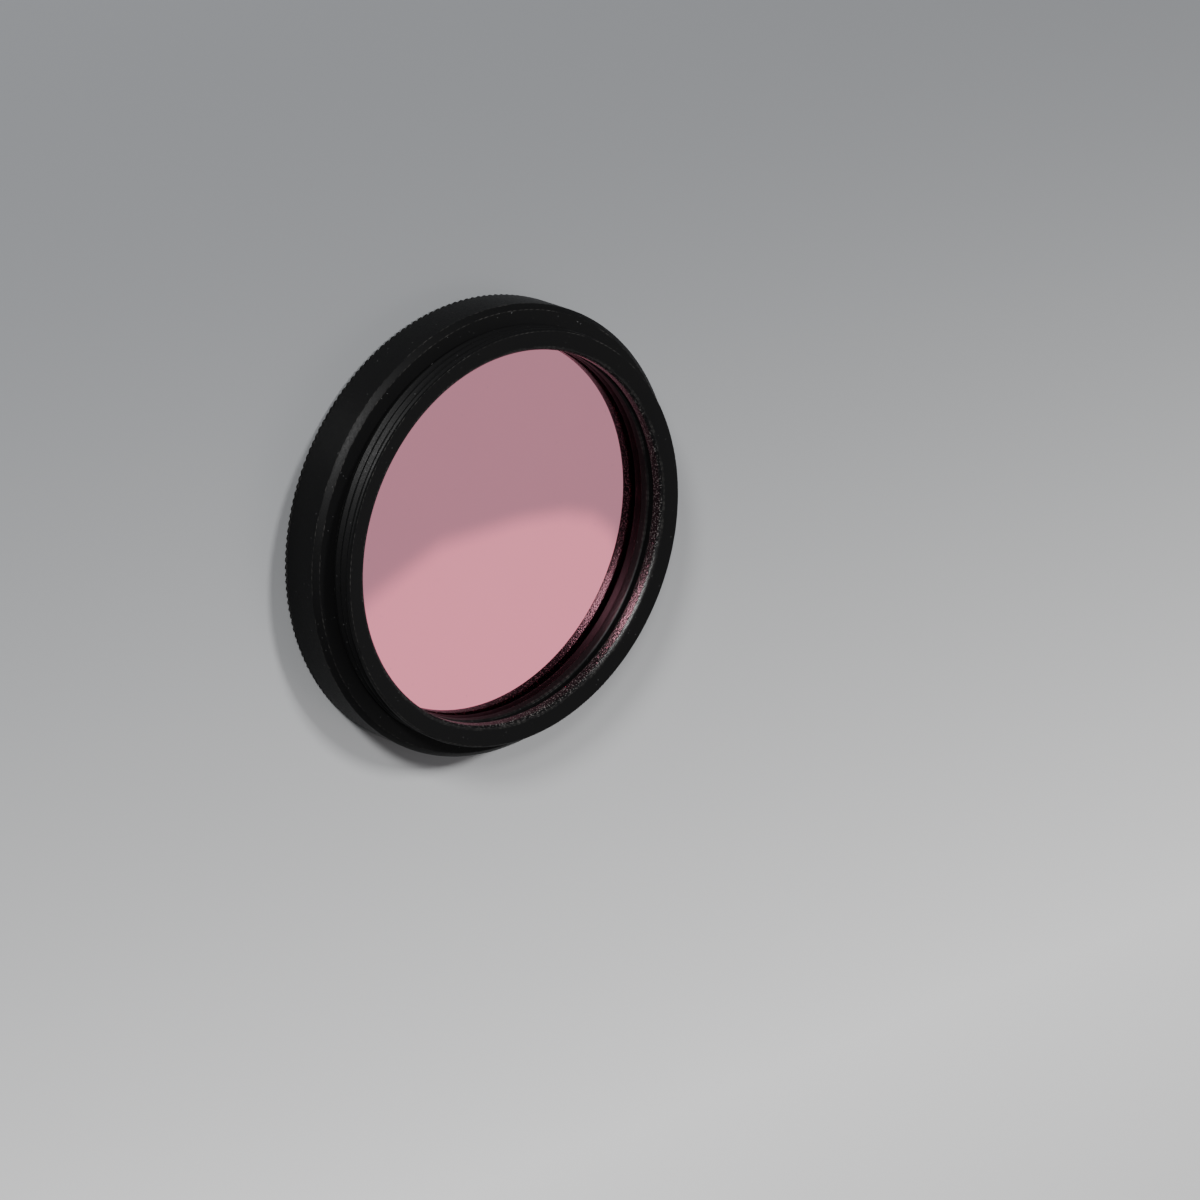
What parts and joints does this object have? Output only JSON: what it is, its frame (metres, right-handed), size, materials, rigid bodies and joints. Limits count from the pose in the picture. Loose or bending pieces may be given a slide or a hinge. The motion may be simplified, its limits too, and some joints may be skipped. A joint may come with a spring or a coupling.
{
  "type": "optical filter",
  "caption": "Round screw-in eyepiece filter: flange with a finely knurled rear rim, threaded collar and a coated pink glass disc held by a retaining ring.",
  "frame": {"origin": "centre of the flange's rear face, on the optical axis", "axes": "+Z along the optical axis from the rear face to the threaded collar"},
  "size_m": [0.031, 0.031, 0.0053],
  "materials": {
    "cell_anodised": "satin black anodised",
    "coated_glass": "polished glass with a pink reflecting coating",
    "ring_anodised": "satin black anodised"
  },
  "bodies": {
    "root": {"filter_cell": "cell_anodised", "filter_glass": "coated_glass", "retaining_ring": "ring_anodised"}
  },
  "joints": []
}
